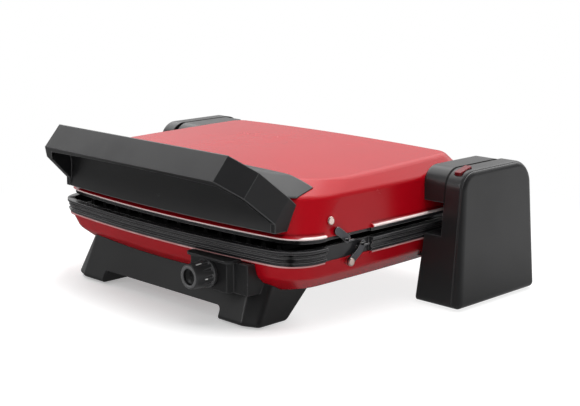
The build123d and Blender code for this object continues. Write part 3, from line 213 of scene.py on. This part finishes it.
# The paper takes shade in an oval round the front stand, less under the rest
near_front = 1 - (((spot_x + 0.02) * 5.0) ** 2 + ((spot_y + 0.14) * 10.0) ** 2).over(0.2, 1.25)
near_any = 1 - (spot_x * spot_x + spot_y * spot_y).over(0.05, 0.22)
far_off = 1 - near_any * 0.28 - near_front * 0.72
lit = paper.out("ShaderNodeBsdfDiffuse", "BSDF", {}, {"Color": (0.95, 0.95, 0.95, 1)})
glow = paper.out("ShaderNodeEmission", "Emission", {}, {"Color": white, "Strength": 0.31})
both = paper.out("ShaderNodeAddShader", "Shader", {}, {0: lit, 1: glow})
pure = paper.out("ShaderNodeEmission", "Emission", {}, {"Color": white, "Strength": 1.0})
near_far = paper.out("ShaderNodeMixShader", "Shader", {}, {0: far_off, 1: both, 2: pure})
# What the object gets back from the paper, by bounce and by reflection
right_side = (spot_x * 0.55 + spot_y * 0.8).over(0.05, 0.45)
bounce = paper.out("ShaderNodeBsdfDiffuse", "BSDF", {}, {"Color": (0.72, 0.72, 0.72, 1)})
sheen_light = paper.blend(right_side, (0.22, 0.22, 0.22, 1), (0.97, 0.97, 0.97, 1))
sheen = paper.out("ShaderNodeEmission", "Emission", {}, {"Color": sheen_light, "Strength": 1.0})
unseen = paper.out("ShaderNodeMixShader", "Shader", {}, {0: mirrored, 1: bounce, 2: sheen})
shown = paper.out("ShaderNodeMixShader", "Shader", {}, {0: seen, 1: unseen, 2: near_far})
paper.node("ShaderNodeOutputMaterial", {}, {"Surface": shown})
floor_mesh.materials.append(paper.owner)


def softbox(name, place, aim, width, height, watts):
    """A lamp with a rectangular face, turned to what it lights."""
    lamp = bpy.data.lights.new(name, "AREA")
    lamp.shape = "RECTANGLE"
    lamp.size = width
    lamp.size_y = height
    lamp.energy = watts
    holder = bpy.data.objects.new(name, lamp)
    holder.location = place
    holder.rotation_euler = (Vector(aim) - Vector(place)).to_track_quat("-Z", "Y").to_euler()
    scene.collection.objects.link(holder)
    return holder


softbox("left_softbox", (-1.0, 0.15, 1.25), (0, 0, 0.05), 1.6, 1.6, 12.5)
key = softbox("key_above", (0.28, 0.20, 1.50), (0, 0, 0.05), 1.2, 1.2, 26.0)
key.visible_glossy = False
fill = softbox("front_fill", (0.9, -1.5, 0.8), (0, 0, 0.08), 0.9, 0.9, 3.5)
fill.visible_glossy = False
softbox("edge_strip", (-0.52, -1.20, 0.62), (0, -0.1, 0.06), 0.10, 0.7, 2.2)


# Lid and bowl skins: pressed steel sheet with a rolled hem, baked with a satin
# red coat that has a faint orange peel. The hems carry a painted highlight,
# except where the latch bays cut them, and painted shade darkens the sheet just
# above the lid's hem.
def dress(finished, *names):
    """Give the finish to CAD nodes that keep their shape."""
    for name in names:
        skins = nodes[name].data.materials
        skins.clear()
        skins.append(finished)


def rgb(red, green, blue):
    """Linear colour from the 0 to 255 values of a colour card."""
    shares = [value / 255 for value in (red, green, blue)]
    return tuple(s / 12.92 if s <= 0.04045 else ((s + 0.055) / 1.055) ** 2.4 for s in shares) + (1.0,)


skin_side_x = 0.138
skin_side_fade = 0.003
bay_side_fade = 0.001
bay_front_y = -0.0670
bay_rear_y = -0.0160
bay_fade = 0.0005
lid_low_z = 0.0695
lid_low_fade = 0.0005
hem_top_z = 0.0722
hem_fade = 0.0003
side_hem_rise = 0.0009
hem_shade_top_z = 0.0751
hem_shade_fade = 0.0009
bowl_hem_z = 0.0511
bowl_hem_fade = 0.0002
bowl_rim_z = 0.0527
enamel = material("red_enamel")
cloud = enamel.noise(9.0, 2.0)
peel = enamel.noise(620.0, 2.0, 0.45)
rub = enamel.noise(38.0, 4.0, 0.62).over(0.45, 0.75)
rounded, wear_and_highlight = enamel.edge(0.0007, 0.03, 0.14)
deep_red = enamel.blend(cloud.over(0.3, 0.7), rgb(167, 4, 20), rgb(173, 6, 23))
# Sharp edges turn a lighter red, from wear and a painted highlight
edge_red = enamel.blend(wear_and_highlight * 0.4, deep_red, rgb(212, 50, 60))
across = enamel.coordinate("X")
along_y = enamel.coordinate("Y")
height = enamel.coordinate("Z")
across_square = across * across
on_side = across_square.over(skin_side_x**2, (skin_side_x + skin_side_fade) ** 2)
bay_side = across_square.over(skin_side_x**2, (skin_side_x + bay_side_fade) ** 2)
bay_start = along_y.over(bay_front_y - bay_fade, bay_front_y + bay_fade)
bay_end = along_y.over(bay_rear_y - bay_fade, bay_rear_y + bay_fade)
whole_hem = 1 - bay_start * (1 - bay_end) * bay_side
side_height = height - side_hem_rise * on_side
on_lid = height.over(lid_low_z - lid_low_fade, lid_low_z + lid_low_fade)
lid_hem = on_lid * (1 - side_height.over(hem_top_z - hem_fade, hem_top_z + hem_fade))
shade_start = height.over(hem_top_z + hem_fade, hem_top_z + 3 * hem_fade)
shade_end = height.over(hem_shade_top_z - hem_shade_fade, hem_shade_top_z + hem_shade_fade)
bowl_start = height.over(bowl_hem_z - bowl_hem_fade, bowl_hem_z + bowl_hem_fade)
bowl_end = height.over(bowl_rim_z - hem_fade, bowl_rim_z + hem_fade)
# Painted highlights: pale lines along the lid's hem and the bowl's rim
lid_hem_highlight = lid_hem * whole_hem * (0.86 + 0.12 * rub)
bowl_hem_highlight = bowl_start * (1 - bowl_end) * whole_hem * (0.35 + 0.35 * rub)
# Painted shade: a darker red band on the sheet just above the lid's hem
hem_shade = shade_start * (1 - shade_end) * whole_hem * 0.55
under_hem = enamel.blend(hem_shade, edge_red, rgb(96, 2, 10))
red_coat = enamel.surface(
    Base_Color=enamel.blend(lid_hem_highlight + bowl_hem_highlight, under_hem, rgb(255, 240, 238)),
    Specular_IOR_Level=0.32,
    Roughness=0.24 + 0.025 * rub + 0.02 * peel,
    Normal=enamel.bump(peel, 0.00004, 0.6, rounded),
)
dress(red_coat, "upper_shell", "lower_shell")


# Stand, pods and lid arms: glass-filled heat-resistant plastic, moulded with a
# fine spark-eroded grain and polished a little on its edges, which a painted
# highlight makes paler still. The joint between each lid arm and its pod is dark
# with dust and painted shade.
joint_low_z = 0.080
joint_low_fade = 0.004


def scaled(colour, factor):
    """The colour made lighter or darker."""
    return tuple(share * factor for share in colour[:3]) + (1.0,)


def moulding(name, shade, edge_shade, rough, grain_scale, grain_depth, shine=0.5, joint=None):
    """Grained plastic, with dust and painted shade along a joint: its inner x, outer x and fade."""
    made = material(name)
    grain = made.noise(grain_scale, 2.0, 0.6)
    patch = made.noise(30.0, 3.0, 0.6).over(0.35, 0.75)
    # Edges turn pale from wear and a painted highlight
    rounded, wear_and_highlight = made.edge(0.0012)
    tone = made.blend(patch * 0.4, shade, scaled(shade, 1.25))
    dust_and_shade = 0.0
    if joint:
        inner, outer, fade = joint
        across = made.coordinate("X")
        across_square = across * across
        outside = across_square.over(outer**2, (outer + fade) ** 2)
        height = made.coordinate("Z")
        raised = height.over(joint_low_z - joint_low_fade, joint_low_z + joint_low_fade)
        # Painted shade, with dust, darkens the joint between each lid arm and its pod
        dust_and_shade = across_square.over((inner - fade) ** 2, inner**2) * (1 - outside) * raised
        tone = made.blend(dust_and_shade, tone, rgb(5, 5, 5))
        wear_and_highlight = wear_and_highlight * (1 - dust_and_shade)
    return made.surface(
        Base_Color=made.blend(wear_and_highlight * 0.6, tone, edge_shade),
        Specular_IOR_Level=shine,
        Roughness=rough + 0.08 * patch - 0.08 * wear_and_highlight + 0.55 * dust_and_shade,
        Normal=made.bump(grain, grain_depth, 0.5, rounded),
    )


arm_side_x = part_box("hinge_arm_right")[1][0]
arm_joint = (arm_side_x - 0.0008, arm_side_x + 0.0024, 0.0004)
body_black = moulding(
    "grained_black", rgb(30, 30, 31), rgb(78, 78, 79), 0.30, 2600.0, 0.00005, joint=arm_joint
)
dress(
    body_black,
    "front_stand",
    "rear_leg_left",
    "rear_leg_right",
    "pod_cover_left",
    "pod_cover_right",
    "hinge_arm_left",
    "hinge_arm_right",
)

# Handle: one faceted hood of the same plastic on a saddle that is screwed to
# the lid's front. Its faces are duller than the pods, and its edges are pale
# from wear and a painted highlight.
handle_black = moulding(
    "handle_black", rgb(31, 31, 32), rgb(104, 104, 105), 0.37, 3000.0, 0.00004, shine=0.36
)
dress(handle_black, "handle")

# Knob: a fluted plastic cap pressed on the thermostat's shaft. Its face has a
# ring of lighter grey, a painted highlight, round a dish darkened with painted
# shade, and its side carries a long mark and a short one, both printed in white ink.
knob_black = moulding("knob_black", rgb(53, 53, 54), rgb(128, 128, 129), 0.30, 3000.0, 0.00003)
dress(knob_black, "knob")


def solid_piece(name, points, faces, finish, body, smooth=True):
    """A closed mesh that only the visual model has, riding on a body."""
    mesh = bpy.data.meshes.new(name)
    mesh.from_pydata([tuple(point) for point in points], [], faces)
    shape = bmesh.new()
    shape.from_mesh(mesh)
    bmesh.ops.recalc_face_normals(shape, faces=shape.faces)
    shape.to_mesh(mesh)
    shape.free()
    for face in mesh.polygons:
        face.use_smooth = smooth
    mesh.materials.append(finish)
    piece = bpy.data.objects.new(name, mesh)
    scene.collection.objects.link(piece)
    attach(piece, body)


def lathe(profile, centre, steps=48):
    """Points and faces of a closed profile (radius, depth) turned round the knob's axis."""
    points, faces = [], []
    count = len(profile)
    for step in range(steps):
        angle = 2 * math.pi * step / steps
        out = Vector((math.cos(angle), 0, -math.sin(angle)))
        points += [centre + out * radius + Vector((0, depth, 0)) for radius, depth in profile]
        turn = (step + 1) % steps * count
        for k in range(count):
            here, after = step * count + k, step * count + (k + 1) % count
            faces.append((here, after, turn + (k + 1) % count, turn + k))
    return points, faces


knob_low, knob_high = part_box("knob")
knob_face = Vector(((knob_low[0] + knob_high[0]) / 2, knob_low[1], (knob_low[2] + knob_high[2]) / 2))
ring_radius = 0.0076
ring_half_width = 0.0011
ring_half_height = 0.0006
ring_sunk = 0.0001
ring_sides = 12
ring_profile = []
for k in range(ring_sides):
    angle = 2 * math.pi * k / ring_sides
    radius = ring_radius + ring_half_width * math.cos(angle)
    ring_profile.append((radius, ring_sunk + ring_half_height * math.sin(angle)))
# Painted highlight: the face ring is a lighter grey than the knob
ring_painted_highlight = moulding("knob_ring", rgb(90, 90, 91), rgb(140, 140, 141), 0.26, 3000.0, 0.00002)
ring_points, ring_faces = lathe(ring_profile, knob_face)
solid_piece("knob_face_ring", ring_points, ring_faces, ring_painted_highlight, "control_knob")

# The dish's corners: radius, and depth behind the knob's face
dish_radius = 0.0064
dish_hole = 0.0001
dish_profile = [
    (dish_hole, 0.0022),
    (0.0055, 0.0020),
    (dish_radius, 0.0012),
    (dish_radius, 0.0016),
    (0.0056, 0.0026),
    (dish_hole, 0.0028),
]
# Painted shade: the recessed dish is darker than the knob
dish_painted_shade = moulding("knob_dish", rgb(22, 22, 23), rgb(40, 40, 41), 0.42, 3000.0, 0.00003)
dish_points, dish_faces = lathe(dish_profile, knob_face)
solid_piece("knob_dish", dish_points, dish_faces, dish_painted_shade, "control_knob")

ink = moulding("white_ink", rgb(226, 226, 224), rgb(240, 240, 238), 0.5, 2500.0, 0.00001)
ink_front_radius = 0.00985
ink_rear_radius = 0.01022
ink_sunk = 0.0004
ink_proud = 0.00022
tick_faces = [(0, 1, 3, 2), (4, 6, 7, 5), (0, 4, 5, 1), (2, 3, 7, 6), (0, 2, 6, 4), (1, 5, 7, 3)]
# Each tick: degrees round the knob, start behind the face, length, width
tick_rows = ((68, 0.0045, 0.0050, 0.0011), (-8, 0.0075, 0.0028, 0.0009))
for tick, (angle, start, length, width) in enumerate(tick_rows):
    turn = math.radians(angle)
    out = Vector((math.cos(turn), 0, math.sin(turn)))
    side = Vector((-math.sin(turn), 0, math.cos(turn)))
    tick_points = []
    for depth, radius in ((start, ink_front_radius), (start + length, ink_rear_radius)):
        middle = knob_face + Vector((0, depth, 0))
        for lift in (-ink_sunk, ink_proud):
            for share in (-0.5, 0.5):
                tick_points.append(middle + out * (radius + lift) + side * (share * width))
    piece_name = f"knob_tick_{tick + 1}"
    solid_piece(piece_name, tick_points, tick_faces, ink, "control_knob", False)

# Cooking plates: cast metal pans, sprayed with a dark speckled non-stick coat.
# The rim is glossier and catches light on its beads, whose edges pale with wear
# and a painted highlight. Ribs and gutter inside it are darkened with painted
# shade and are duller, and dullest at the ribs' front ends.
plate_middle_y = 0.004
ribbed_half_x = 0.137
ribbed_half_y = 0.098
ribbed_fade = 0.003
rib_end_y = -0.0875
rib_end_fade = 0.001
coat = material("non_stick")
speck = coat.noise(1400.0, 2.0, 0.7)
pool = coat.noise(60.0, 3.0, 0.5)
rounded, wear_and_highlight = coat.edge(0.0008)
plate_x = coat.coordinate("X")
plate_y = coat.coordinate("Y") - plate_middle_y
past_sides = (plate_x * plate_x).over(ribbed_half_x**2, (ribbed_half_x + ribbed_fade) ** 2)
past_ends = (plate_y * plate_y).over(ribbed_half_y**2, (ribbed_half_y + ribbed_fade) ** 2)
inside = (1 - past_sides) * (1 - past_ends)
rib_end = inside * (1 - plate_y.over(rib_end_y - rib_end_fade, rib_end_y + rib_end_fade))
# Painted shade: ribs and gutter inside the rim are painted near black
rim_and_rib_shade = coat.blend(inside, rgb(42, 42, 44), rgb(10, 10, 11))
speckled = coat.blend(speck.over(0.55, 0.75) * 0.25 * (1 - inside), rim_and_rib_shade, rgb(70, 70, 74))
# The rim's bead edges pale from wear and a painted highlight
non_stick = coat.surface(
    Base_Color=coat.blend(wear_and_highlight * (1 - inside) * 0.38, speckled, rgb(150, 148, 148)),
    Specular_IOR_Level=0.45,
    Roughness=0.17 + 0.10 * pool + 0.26 * inside + 0.45 * rib_end,
    Normal=coat.bump(speck, 0.00005, 0.4, rounded),
)
dress(non_stick, "upper_plate", "lower_plate")


# Hinge pins and guides, screws and thermostat metal: turned or folded steel,
# zinc-plated, with a fine drawn grain, some tarnish, and polished edges that a
# painted highlight makes brighter.
def metal(name, shade, rough):
    """Metal, fine-grained, duller in patches, its edges bright from polish and a painted highlight.
    """
    made = material(name)
    scratch = made.noise(900.0, 4.0, 0.7)
    tarnish = made.noise(55.0, 3.0, 0.6).over(0.4, 0.8)
    rounded, wear_and_highlight = made.edge(0.0004)
    tone = made.blend(tarnish * 0.35, shade, scaled(shade, 0.6))
    return made.surface(
        Base_Color=made.blend(wear_and_highlight * 0.7, tone, rgb(236, 234, 232)),
        Metallic=1.0,
        Roughness=rough + 0.15 * scratch + 0.12 * tarnish,
        Normal=made.bump(scratch, 0.00002, 0.4, rounded),
    )


zinc = metal("zinc_plate", rgb(186, 188, 190), 0.22)
dress(
    zinc,
    "hinge_pin_left",
    "hinge_pin_right",
    "hinge_guide_left",
    "hinge_guide_right",
    "handle_screws",
    "arm_screws",
    "leg_screws",
    "stand_screws",
    "thermostat_shaft",
    "thermostat_bracket",
    "thermal_fuse",
)

# Heating: bent tubes of heat-dulled steel against the backs of the plates, each
# held by a folded tray of bright sheet that throws its heat back at the plate.
tube_steel = metal("heater_tube", rgb(96, 92, 88), 0.38)
dress(tube_steel, "lower_element", "upper_element")
bright_sheet = metal("bright_sheet", rgb(205, 206, 208), 0.20)
dress(bright_sheet, "lower_reflector", "upper_reflector")

# Plate latches: blackened sheet steel clips, one a side on lid and bowl, that
# swing on riveted pins. The rivets' domed heads are polished.
clip_black = metal("clip_black", rgb(98, 98, 102), 0.24)
dress(clip_black, "upper_clip_left", "upper_clip_right", "lower_clip_left", "lower_clip_right")
rivet_metal = metal("rivet_metal", rgb(248, 222, 212), 0.18)
dress(rivet_metal, "upper_clip_rivets", "lower_clip_rivets")

# Release button: a red plastic tab, its red deepened by painted shade, that
# stands a little proud of a slot in the right pod's top and slides down into it
# when it is pressed.
button_red = moulding("button_red", rgb(92, 5, 14), rgb(150, 30, 42), 0.32, 2000.0, 0.00002)
dress(button_red, "release_button")

# Hinge slide blocks: moulded from a pale plastic that needs no grease. They run
# up and down in the steel guides, so that the lid can rise over thick food.
pale_slide = moulding("pale_slide", rgb(214, 210, 198), rgb(230, 226, 216), 0.4, 1500.0, 0.00003)
dress(pale_slide, "hinge_block_left", "hinge_block_right")

# Thermostat body and terminal block: pressed and fired ceramic without a glaze.
# Both are hidden inside the bowl, the one behind the knob, the other at the back.
ceramic = moulding("ceramic", rgb(222, 219, 210), rgb(235, 233, 226), 0.6, 1800.0, 0.00006)
dress(ceramic, "thermostat_body", "terminal_block")

# Foot pads and mains grommet: matt black rubber. The pads have plugs that are
# pushed up into the soles, and the grommet lines the hole for the mains lead.
rubber = moulding("foot_rubber", rgb(24, 24, 24), rgb(40, 40, 40), 0.75, 2400.0, 0.00008)
dress(rubber, "front_foot_pads", "rear_foot_pads", "cord_gland")
